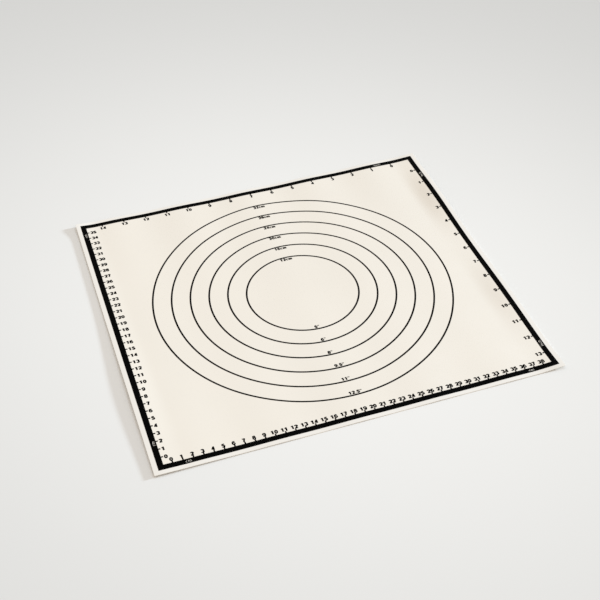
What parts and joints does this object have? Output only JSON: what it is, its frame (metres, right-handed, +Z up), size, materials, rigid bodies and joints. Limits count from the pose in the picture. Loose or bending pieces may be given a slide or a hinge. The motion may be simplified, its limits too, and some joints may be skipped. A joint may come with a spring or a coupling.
{
  "type": "silicone baking mat",
  "caption": "Thin flexible silicone baking mat on a glass cloth core, printed with a black border, centimetre and inch rulers and concentric measuring circles.",
  "frame": {"origin": "centre of the underside, on the surface that the mat lies on", "axes": "+X to the right along the front centimetre ruler, +Y to the back edge with the inch ruler, +Z up out of the printed work surface"},
  "size_m": [0.419, 0.3884, 0.0007],
  "materials": {
    "silicone": "satin, cream, slightly translucent, with the weave of the cloth faintly showing",
    "glass_cloth": "plain-woven glass cloth soaked with silicone",
    "ink": "matte black silicone ink"
  },
  "bodies": {
    "root": {"bottom_silicone_coat": "silicone", "glass_cloth_core": "glass_cloth", "top_silicone_coat": "silicone", "border_band": "ink", "guide_circle_12cm": "ink", "guide_circle_16cm": "ink", "guide_circle_20cm": "ink", "guide_circle_24cm": "ink", "guide_circle_28cm": "ink", "guide_circle_32cm": "ink", "front_centimetre_ticks": "ink", "left_centimetre_ticks": "ink", "back_inch_ticks": "ink", "right_inch_ticks": "ink"}
  },
  "joints": []
}
